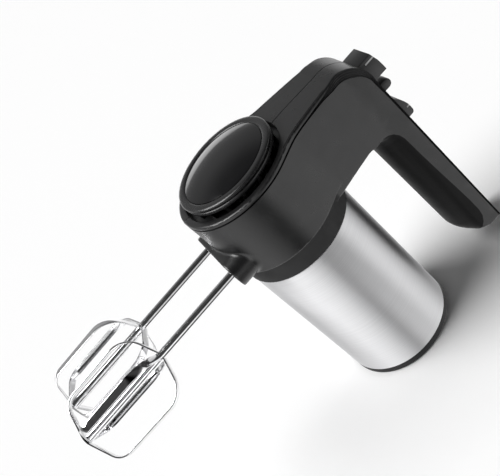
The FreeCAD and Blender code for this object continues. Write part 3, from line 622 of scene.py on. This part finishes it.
# Side view of the housing as (y, z) corners: the toe of the grip, the back and top, the inner side
TOE = arc_points((73.0, 27.0), (78.0, 16.6), (90.0, 11.5), 24)
SPINE_TOP = (
    [(-70.0, HEAD_TOP), (0.0, HEAD_TOP), (44.0, 178.2), (60.0, 177.6)]
    + arc_points((72.0, 176.95), (89.3, 170.8), (grip_back(154), 154.0), 28)
    + [(grip_back(z), z) for z in (140, 125, 110, 95, 80, 65, 50, 35, 22, 11.5)]
)
SPINE_INNER = (
    [(84.0, 11.5), (76.0, 15.0), (70.9, 27.0), (67.5, 114.0), (69.2, 119.5)]
    + arc_points((69.0, 120.8), (67.2, 123.7), (61.5, ARM_FOOT), 8)
    + [(-70.0, ARM_FOOT)]
)


def spine_field(y, z):
    """Signed distance from the side view's outline."""
    corners = SPINE_TOP + SPINE_INNER
    best, inside = np.full(np.broadcast(y, z).shape, 1e9), np.zeros(np.broadcast(y, z).shape, bool)
    for (ay, az), (by, bz) in zip(corners, corners[1:] + corners[:1]):
        dy, dz = by - ay, bz - az
        t = np.clip(((y - ay) * dy + (z - az) * dz) / (dy * dy + dz * dz), 0, 1)
        best = np.minimum(best, (y - ay - t * dy) ** 2 + (z - az - t * dz) ** 2)
        if dz:
            inside ^= ((az > z) != (bz > z)) & (y < ay + (z - az) * dy / dz)
    return np.where(inside, -1.0, 1.0) * np.sqrt(best)


def finger_side(z):
    """Y of the grip's inner face."""
    straight = CROOK_Y + CROOK_R + GRIP_LEAN * (CROOK_Z - z)
    rise = np.clip(z, CROOK_Z, ARM_FOOT) - CROOK_Z
    crook = CROOK_Y + np.sqrt(np.maximum(CROOK_R**2 - rise**2, 0.0))
    toe = np.interp(z, [p[1] for p in reversed(TOE)], [p[0] for p in reversed(TOE)])
    return np.where(z > CROOK_Z, crook, np.where(z < TOE_TOP, toe, straight))


def side_field(x, y, z):
    """Distance outside the side faces of arm and grip, round on the finger side."""
    half = np.interp(y, PLAN_Y, PLAN_HALF)
    inner = finger_side(z)
    foot = inner + 6.0 * np.clip((60.0 - z) / 30.0, 0, 1)
    edge = np.maximum(np.interp(z, BULGE_Z, BULGE_Y), foot)
    edge = np.where(z < BULGE_Z[-1], edge, -1000.0)
    depth = np.maximum(edge - inner, 0.3)
    lean = np.maximum(edge - y, 0.0)
    q = np.hypot(x / half, lean / depth)
    slope = np.hypot(x / half**2, lean / depth**2) / np.maximum(q, 1e-6)
    return (q - 1.0) / np.maximum(slope, 1e-6)


def head_side(x, y, side):
    """Side surface of head and arm together, with a hollow where they meet."""
    return smin(np.hypot(x, y) - HEAD_R, np.maximum(side, -y), NECK_HOLLOW)


def shell_field(x, y, z):
    """Signed distance from the outside of the housing."""
    side, spine = side_field(x, y, z), spine_field(y, z)
    head = smax(head_side(x, y, side), spine, TOP_ROUND)
    head = smax(head, HEAD_FOOT - z, HEAD_FOOT_ROUND)
    arm = np.maximum(smax(side, spine, TOP_ROUND), ARM_FRONT - y)
    ends = np.maximum(COLLAR_FOOT - z, z - COLLAR_TOP)
    collar = smax(np.hypot(x, y) - COLLAR_R, ends, COLLAR_ROUND)
    body = np.minimum(np.minimum(head, arm), collar)
    nose = np.hypot(np.maximum(np.abs(x) - NOSE_X, 0.0), z - NOSE_Z) - NOSE_R
    nose = smax(nose, np.maximum(NOSE_FRONT - y, y), NOSE_ROUND)
    return smin(body, nose, NOSE_HOLLOW)


def half_field(x, y, z):
    """The right half of the housing, short of the seam."""
    return smax(shell_field(x, y, z), SEAM - x, SEAM_ROUND)


def cavity_field(x, y, z):
    """Inside of the shell: a wall's thickness in, and below the head's recess."""
    deck = np.where(np.hypot(x, y) < DECK_R + WALL, z - DECK_Z + 2.0, -1.0)
    inside = np.maximum(shell_field(x, y, z) + WALL, deck)
    ends = np.maximum(THROAT_FOOT - z, z - THROAT_TOP)
    throat = np.maximum(np.hypot(x, y) - THROAT_R, ends)
    return np.maximum(np.minimum(inside, throat), -0.5 - x)


def net(field, xs, ys, zs):
    """Closed quad mesh of the surface field = 0 on a grid."""
    values = field(xs[:, None, None], ys[None, :, None], zs[None, None, :])
    inside = values < 0
    shape = inside.shape
    corners = [(i, j, k) for i in (0, 1) for j in (0, 1) for k in (0, 1)]
    count = sum(inside[i:shape[0] - 1 + i, j:shape[1] - 1 + j, k:shape[2] - 1 + k].astype(np.int8)
                for i, j, k in corners)
    mixed = (count > 0) & (count < 8)
    index = np.full(mixed.shape, -1)
    index[mixed] = np.arange(mixed.sum())
    cells = np.argwhere(mixed)
    total, hits = np.zeros((len(cells), 3)), np.zeros(len(cells))
    for a in corners:
        for b in corners:
            if sum(b) - sum(a) != 1 or any(q < p for p, q in zip(a, b)):
                continue
            ca, cb = cells + a, cells + b
            fa, fb = values[tuple(ca.T)], values[tuple(cb.T)]
            cross = (fa < 0) != (fb < 0)
            t = np.where(cross, fa / np.where(cross, fa - fb, 1.0), 0.0)[:, None]
            pa = np.stack([xs[ca[:, 0]], ys[ca[:, 1]], zs[ca[:, 2]]], 1)
            pb = np.stack([xs[cb[:, 0]], ys[cb[:, 1]], zs[cb[:, 2]]], 1)
            total += np.where(cross[:, None], pa + t * (pb - pa), 0.0)
            hits += cross
    points = total / hits[:, None]
    faces = []
    for axis in range(3):
        u, v = (axis + 1) % 3, (axis + 2) % 3
        low = np.take(inside, range(shape[axis] - 1), axis)
        high = np.take(inside, range(1, shape[axis]), axis)
        found = np.argwhere(low != high)
        found = found[(found[:, u] > 0) & (found[:, v] > 0)
                      & (found[:, u] < shape[u] - 1) & (found[:, v] < shape[v] - 1)]
        eu, ev = np.eye(3, dtype=int)[u], np.eye(3, dtype=int)[v]
        quad = np.stack([index[tuple((found - d).T)] for d in (eu + ev, ev, 0 * eu, eu)], 1)
        flip = ~low[tuple(found.T)]
        quad[flip] = quad[flip][:, ::-1]
        faces.append(quad)
    return points, np.concatenate(faces)


def settled(points, field, rounds=4, step=0.03, reach=0.35):
    """Points moved onto the surface field = 0."""
    for _ in range(rounds):
        x, y, z = points.T
        value = field(x, y, z)
        slope = np.stack([field(x + step, y, z) - field(x - step, y, z),
                          field(x, y + step, z) - field(x, y - step, z),
                          field(x, y, z + step) - field(x, y, z - step)], 1) / (2 * step)
        size = np.maximum((slope**2).sum(1), 0.05)
        move = slope * (value / size)[:, None]
        length = np.linalg.norm(move, axis=1, keepdims=True)
        points = points - move * np.minimum(1.0, reach / np.maximum(length, 1e-9))
    return points


def side_edge():
    """Frames (point, outward, upward) along the upper edge of the right side face, front to foot."""
    def root(place):
        """Point of the ray on the side surface, found by halving."""
        low, high = 5.0, 60.0
        for _ in range(40):
            middle = 0.5 * (low + high)
            x, y = place(middle)
            side = side_field(np.array(x), np.array(y), np.array(150.0))
            if head_side(x, y, side) < 0:
                low = middle
            else:
                high = middle
        return place(low)

    plan = []
    for degrees in np.arange(-93.0, 31.0, 2.5):
        c, s = math.cos(math.radians(degrees)), math.sin(math.radians(degrees))
        plan.append(root(lambda r: (r * c, r * s)))
    for y in np.arange(plan[-1][1] + 2.0, 60.0, 2.0):
        plan.append(root(lambda r: (r, y)))
    roof_y, roof_z = zip(*SPINE_TOP[:4])
    path = [(x, y, float(np.interp(y, roof_y, roof_z))) for x, y in plan]
    bend = [(64, 177.4), (68, 177.2)] + [p for p in SPINE_TOP if p[0] > 60.5]
    path += [(float(np.interp(y, PLAN_Y, PLAN_HALF)), y, z) for y, z in bend]
    path = [Vector(p) for p in path]
    frames = []
    for k, p in enumerate(path):
        along = (path[min(k + 1, len(path) - 1)] - path[max(k - 1, 0)]).normalized()
        up = Vector((0, 0, 1)) if k < len(plan) else Vector((1, 0, 0)).cross(along).normalized()
        frames.append((p, along.cross(up).normalized(), up))
    return frames


# Groove between side face and top: its upper and lower bound from the edge, by y - z along the edge
BAND_AT = [-220, -130, -114, -108, -102, -96, -90, -80, -70, -60, -45, 80]
BAND_TOP = [-2.4, -2.2, -1.8, -1.3, -0.8, -0.3, 0.0, 0.4, 0.7, 0.8, 0.8, 0.8]
BAND_LOW = [-3.5, -3.4, -3.7, -4.6, -5.4, -5.7, -5.7, -5.3, -3.9, -2.0, -1.5, -1.3]


def band(point):
    """Upper and lower bound of the groove at a point of the edge."""
    at = point.y - point.z
    return float(np.interp(at, BAND_AT, BAND_TOP)), float(np.interp(at, BAND_AT, BAND_LOW))


def edge_strip(frames):
    """Ribbed black strip that lies in the groove along the side face."""
    sections = []
    ribs, rib_depth, depth, back, steps = 4, 0.14, 0.55, 1.5, 32
    for point, _, _ in frames:
        top, low = band(point)
        top, low = min(top, -0.04) + 0.04, low - 0.04
        loop = []
        for k in range(steps + 1):
            t = k / steps
            rib = rib_depth * math.cos(2 * math.pi * ribs * t)
            loop.append((-depth + rib, top + (low - top) * t))
        sections.append(loop + [(-back, low), (-back, top)])
    return sweep("edge_strip_right", frames, sections, 50.0)


BUTTON_GAP = 0.35
EJECT_HALF = 9.0
TURBO_HALF, TURBO_FOOT = 7.5, 112.5
KNOB_HALF = 4.4
BACK_FROM, BACK_TO = 86.0, 110.0  # Y range of the cuts through the back


def shell_cutters(frames):
    """Grooves, recess and openings that both shells have."""
    groove = [[(1.6, t), (-1.3, t), (-1.3, l), (1.6, l)] for t, l in (band(f[0]) for f in frames)]
    cutters = [sweep("cut_groove", frames, groove)]
    top = [f for f in frames if 27.0 < f[0].y < 71.0 and f[0].z > 170.0]
    line = [(-1.5, 1.0), (-1.95, 1.0), (-1.95, -0.5), (-1.5, -0.5)]
    cutters.append(sweep("cut_line", top, [line] * len(top)))
    recess = [(0, DECK_Z), (DECK_R, DECK_Z), (DECK_R, 177.7), (DECK_R + 0.25, 178.15),
              (DECK_R + 0.75, 178.45), (DECK_R + 1.4, 178.6), (DECK_R + 1.4, 184.0), (0, 184.0)]
    cutters.append(lathe("cut_recess", recess, 160))
    port_low, port_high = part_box("port_bush_right")
    port = (port_low + port_high) / (2 * MM)
    mouth, inner = (port.x, -47.0, port.z), (port.x, -38.0, port.z)
    cutters.append(rod_object("cut_port", mouth, inner, 7.5, 64))
    for node, half, foot in (("eject_button", EJECT_HALF, None), ("turbo_button", TURBO_HALF, TURBO_FOOT)):
        low, high = (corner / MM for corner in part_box(node))
        foot = low.z if foot is None else foot
        cutters.append(box_object("cut_" + node, -half - BUTTON_GAP, half + BUTTON_GAP,
                                  BACK_FROM, BACK_TO, foot - BUTTON_GAP, high.z + BUTTON_GAP))
    cutters.append(box_object("cut_slot", -2.4, 2.4, BACK_FROM, BACK_TO, 134.8, 145.4))
    cutters.append(box_object("cut_inlet", -4.75, 4.75, 86.75, 96.25, 5.0, 15.4))
    for cutter in cutters:
        outward(cutter)
    return cutters


# Finger side of the grip, as (y, z) corners: the darker, duller pad there is painted shade for the dark
# reflection on the rounded side
PAD_OUTLINE = [(58.0, 8.0), (60.0, 119.2), (69.4, 121.2), (72.4, 123.6), (74.6, 124.0), (78.0, 122.6),
               (81.2, 119.9), (83.4, 116.2), (84.5, 112.0), (85.0, 104.0), (85.5, 95.6), (87.1, 74.0),
               (88.6, 56.0), (89.8, 40.0), (90.2, 29.0), (89.5, 23.0), (87.2, 18.6), (83.5, 15.6),
               (80.0, 8.0)]
# Screw wells in the left shell, as (y, z)
SCREW_WELLS = ((86.0, 38.0), (83.5, 96.0), (60.0, 134.0), (62.0, 170.5))
WELL_R, PAD_TOP = 2.8, 120.0
OUTER_CELL, INNER_CELL = 0.8, 1.4
SHELL_ANGLE = 32.0


def build_shells():
    """Right shell from its field, cut out, with its grip facing (a darker, duller pad of painted shade)
    and strip; the left ones mirror them.
    """
    fine = [-0.5, -0.2, 0.0, 0.11, 0.22, 0.34, 0.5, 0.8, 1.3, 1.9]
    xs = np.concatenate([fine, np.arange(2.6, 43.5, OUTER_CELL)])
    ys, zs = np.arange(-46.9, 101.5, OUTER_CELL), np.arange(9.7, 181.0, OUTER_CELL)
    points, faces = net(half_field, xs, ys, zs)
    points = settled(points, half_field)
    right = mesh_object("housing_shell_right", points, faces)
    thinned(right, 0.6)
    xs, ys = np.arange(-1.4, 42.0, INNER_CELL), np.arange(-45.0, 101.0, INNER_CELL)
    points, faces = net(cavity_field, xs, ys, np.arange(9.0, 181.0, INNER_CELL))
    boolean(right, mesh_object("cavity", points, faces))
    frames = side_edge()
    for cutter in shell_cutters(frames):
        boolean(right, cutter)
    # The grip pad is cut from the shell to carry painted shade in a darker, duller black
    pad = added("grip_shade_pad_right", right.data.copy())
    region = extruded("pad_region", PAD_OUTLINE, -3.0, 25.0)
    boolean(pad, region, "INTERSECT", keep=True)
    boolean(right, region)
    shade(right, SHELL_ANGLE)
    shade(pad, SHELL_ANGLE)
    strip = edge_strip(frames)
    left = mirror_copy(right, "housing_shell_left")
    other_pad = mirror_copy(pad, "grip_shade_pad_left")
    for y, z in SCREW_WELLS:
        well = rod_object("cut_screw", (-40.0, y, z), (-13.4, y, z), WELL_R)
        if z < PAD_TOP:
            boolean(other_pad, well, keep=True)
        boolean(left, well)
    shade(left, SHELL_ANGLE)
    shade(other_pad, SHELL_ANGLE)
    other_strip = mirror_copy(strip, "edge_strip_left")
    finish_piece(right, "housing", "shell_black", "housing_right")
    finish_piece(left, "housing", "shell_black", "housing_left")
    # The pads take the darker, duller grip black: painted shade on the rounded finger side
    for obj in (pad, other_pad):
        finish_piece(obj, "housing", "cap_black", material="grip_painted_shade")
    for obj in (strip, other_strip):
        finish_piece(obj, "housing", "cap_black")


# ---------------------------------------------------------------- motor body and disc

# Profiles as (radius, z)
SLEEVE = [(38.0, 5.35), (38.15, 5.1), (38.5, 5.0), (38.8, 5.08), (39.0, 5.35), (39.0, 116.6),
          (38.86, 116.88), (38.5, 117.0), (38.15, 116.9), (38.0, 116.65)]
DISC_RING = [(28.5, 180.3), (28.5, 184.4), (29.35, 184.4), (29.4, 185.35), (29.7, 185.6), (30.8, 185.85),
             (32.0, 185.9), (33.2, 185.75), (34.0, 185.45), (34.4, 185.1), (34.5, 184.75), (34.35, 184.45),
             (33.9, 184.3), (33.3, 184.3), (33.1, 184.0), (33.1, 183.1), (33.4, 182.9), (33.9, 182.75),
             (34.2, 182.4), (34.25, 181.6), (34.1, 180.6), (33.6, 180.1), (33.0, 180.0), (29.0, 180.0)]
LENS_R, LENS_FOOT, LENS_RISE = 29.1, 185.5, 5.1
LENS_STEPS = 24
POSTS = 16
# Foot and head of each rib under the disc: z, inner radius, outer radius, half width
POST_ENDS = ((DECK_Z, 25.0, 32.2, 1.3), (180.6, 24.6, 32.8, 0.95))


def build_sleeve():
    obj = lathe("steel_sleeve", SLEEVE, 192, closed=True)
    outward(obj)
    finish_piece(obj, "housing", "sleeve_steel", "motor_sleeve")


def build_disc():
    """Satin ring on its ribs, and the gloss dome in it."""
    obj = lathe("disc_ring", DISC_RING, 160, closed=True)
    outward(obj)
    join_boxes(obj, [post_points(k) for k in range(POSTS)])
    finish_piece(obj, "housing", "disc_satin", "disc_carrier")
    sphere = (LENS_R**2 + LENS_RISE**2) / (2 * LENS_RISE)
    dome = []
    for k in range(LENS_STEPS + 1):
        r = (LENS_R - 0.35) * (1 - k / LENS_STEPS)
        dome.append((r, LENS_FOOT + LENS_RISE - sphere + math.sqrt(sphere**2 - r * r)))
    rim = [(0, 184.45), (28.7, 184.45), (29.0, 184.7), (LENS_R, 185.2),
           (LENS_R - 0.08, LENS_FOOT + 0.02)]
    obj = lathe("disc_lens_dome", rim + dome[:-1] + [(0, dome[-1][1])], 160)
    outward(obj)
    finish_piece(obj, "housing", "lens_black", "disc_lens")


def post_points(k):
    """Corners of one rib between the deck and the disc."""
    a = 2 * math.pi * (k + 0.5) / POSTS
    c, s = math.cos(a), math.sin(a)
    corners = []
    for z, inner, outer, half in POST_ENDS:
        for r, h in ((inner, -half), (outer, -half), (outer, half), (inner, half)):
            corners.append((r * c - h * s, r * s + h * c, z))
    return corners


# ---------------------------------------------------------------- controls

# Side views as (y, z) corners
# Light band across the eject button: a painted highlight for the bright edge of its cap
EJECT_HIGHLIGHT = [(97.4, 160.95), (104.5, 160.95), (104.25, 162.05), (97.4, 162.05)]
KNOB = [(95.4, 136.0), (101.9, 135.9), (103.3, 136.3), (104.2, 137.3), (104.63, 138.6), (104.55, 139.9),
        (103.9, 141.1), (102.8, 141.85), (101.6, 142.1), (95.4, 142.0)]
TURBO_CROWN = arc_points((94.9, 132.4), (101.4, 124.0), (103.0, 115.3), 12)
TURBO = ([(90.2, TURBO_FOOT), (101.4, TURBO_FOOT), (102.4, 113.0), (102.95, 114.2)]
         + TURBO_CROWN[::-1] + [(90.2, 131.7)])
TURBO_MARK = [(100.6, 118.2), (102.85, 118.2), (102.7, 119.5), (100.6, 119.5)]
# How far the light marks stand out of the sides: the eject button's band, a painted highlight, and the
# turbo button's mark
EJECT_HIGHLIGHT_PROUD, TURBO_MARK_PROUD = 0.06, 0.04


def build_eject_button():
    low, high = (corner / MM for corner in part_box("eject_button"))
    foot, top, half = low.z, high.z, high.x
    outline = [(88.0, foot), (106.0, foot), (105.9, 152.0), (105.4, 157.4), (104.55, 160.75),
               (103.8, 160.95), (103.6, 162.05), (104.2, 162.25), (103.6, top), (88.0, top)]
    button = extruded("eject_button_cap", outline, -half, half)
    bevelled(button, 0.4)
    finish_piece(button, "ejector", "button_black", "eject_button")
    # Light grey band on the cap: a painted highlight
    reach = half + EJECT_HIGHLIGHT_PROUD
    mark = extruded("eject_button_highlight", EJECT_HIGHLIGHT, -reach, reach)
    bevelled(mark, 0.2)
    finish_piece(mark, "ejector", "gear_plastic", material="highlight_and_mark_grey")


def build_speed_knob():
    """Small knob on a stem that runs in the slot."""
    obj = extruded("speed_knob_cap", KNOB, -KNOB_HALF, KNOB_HALF)
    stem = [(x, y, z) for z in (137.6, 140.4) for x, y in ((-2, 90), (2, 90), (2, 96), (-2, 96))]
    join_boxes(obj, [stem])
    bevelled(obj, 0.5)
    finish_piece(obj, "speed_control", "button_black", "speed_knob")


def build_turbo_button():
    obj = extruded("turbo_button_cap", TURBO, -TURBO_HALF, TURBO_HALF)
    bevelled(obj, 0.5)
    finish_piece(obj, "turbo", "button_black", "turbo_button")
    reach = TURBO_HALF + TURBO_MARK_PROUD
    mark = extruded("turbo_button_mark", TURBO_MARK, -reach, reach)
    bevelled(mark, 0.2)
    finish_piece(mark, "turbo", "gear_plastic", material="highlight_and_mark_grey")


# ---------------------------------------------------------------- beaters

LOOP_TOP, LOOP_FOOT = -107.0, -176.5
OUTER_R, INNER_R, INNER_GAP = 25.8, 25.3, 1.25
STRIP_THICK, STRIP_WIDTH, STRIP_EDGE = 1.0, 5.0, 0.32
# Turn of each beater's outer loop about its shaft, in degrees; the inner loop stands square to it
REST_TURN = (("left", 0.0), ("right", 45.0))


def rounded_loop(corners):
    """Points round a closed outline of (x, y, radius) corners."""
    points = []
    count = len(corners)
    for k, (x, y, radius) in enumerate(corners):
        here = Vector((x, y))
        before = (Vector(corners[k - 1][:2]) - here).normalized()
        after = (Vector(corners[(k + 1) % count][:2]) - here).normalized()
        half = before.angle(after) / 2
        reach = radius / math.tan(half)
        centre = here + (before + after).normalized() * (radius / math.sin(half))
        a, b = here + before * reach, here + after * reach
        start = math.atan2(a.y - centre.y, a.x - centre.x)
        turn = math.atan2(b.y - centre.y, b.x - centre.x) - start
        turn = (turn + math.pi) % (2 * math.pi) - math.pi
        steps = max(6, int(abs(turn) / 0.09))
        points += [(centre.x + radius * math.cos(start + turn * i / steps),
                    centre.y + radius * math.sin(start + turn * i / steps)) for i in range(steps + 1)]
    return points


def strip_ring(name, outline):
    """Flat strip with rounded edges bent along a closed outline in the XY plane."""
    count = len(outline)
    thick, half, edge, nick = STRIP_THICK, STRIP_WIDTH / 2, STRIP_EDGE, STRIP_EDGE * 0.3
    section = [(0, -half + edge), (nick, -half + nick), (edge, -half),
               (thick - edge, -half), (thick - nick, -half + nick), (thick, -half + edge),
               (thick, half - edge), (thick - nick, half - nick), (thick - edge, half),
               (edge, half), (nick, half - nick), (0, half - edge)]
    points, faces = [], []
    for k in range(count):
        before, here, after = (Vector(outline[(k + d) % count]) for d in (-1, 0, 1))
        along = (after - before).normalized()
        inward = Vector((-along.y, along.x))
        for depth, z in section:
            p = here + inward * depth
            points.append((p.x, p.y, z))
    size = len(section)
    for k in range(count):
        n = (k + 1) % count
        for i in range(size):
            j = (i + 1) % size
            faces.append((k * size + i, k * size + j, n * size + j, n * size + i))
    obj = mesh_object(name, points, faces, 40.0)
    outward(obj)
    return obj


def build_beaters():
    """Two crossed strip loops on each beater's shaft."""
    for name, turn in REST_TURN:
        low, high = (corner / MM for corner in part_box("beater_shaft_" + name))
        centre = (low + high) / 2
        for inner in (False, True):
            node = ("beater_inner_loop_" if inner else "beater_outer_loop_") + name
            gap, radius = (INNER_GAP, INNER_R) if inner else (0.0, OUTER_R)
            top, foot = LOOP_TOP - gap, LOOP_FOOT + gap
            outline = rounded_loop([
                (0, top, 8.0), (-radius, top - 8.5, 17.0), (-radius * 0.96, foot + 8.0, 10.0),
                (0, foot, 12.0), (radius * 0.96, foot + 8.0, 10.0), (radius, top - 8.5, 17.0),
            ])
            obj = strip_ring(node + "_strip", outline)
            spin = Matrix.Rotation(math.radians(turn + (90.0 if inner else 0.0)), 4, "Y")
            obj.data.transform(Matrix.Translation((centre.x, 0, centre.z)) @ spin)
            finish_piece(obj, "beater_" + name, "beater_chrome", node)


# ---------------------------------------------------------------- button springs

# Each spring, its button's joint and that joint's travel in metres
SPRINGS = (("eject_spring", "eject_press", 0.008), ("turbo_spring", "turbo_press", 0.002))


def build_springs():
    """The return springs: copies of the CAD coils, carried by the housing."""
    for name, joint, travel in SPRINGS:
        node = frame["nodes"][name]
        coil = added(name + "_coil", node.data.copy())
        coil.matrix_world = node.matrix_world.copy()
        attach(coil, "housing")
        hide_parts(name)
        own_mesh(coil)


make_camera()
make_world()
make_floor()
make_sun()
bpy.context.scene.view_settings.view_transform = "Standard"

build_shells()
build_sleeve()
build_disc()
build_eject_button()
build_speed_knob()
build_turbo_button()
build_beaters()
build_springs()
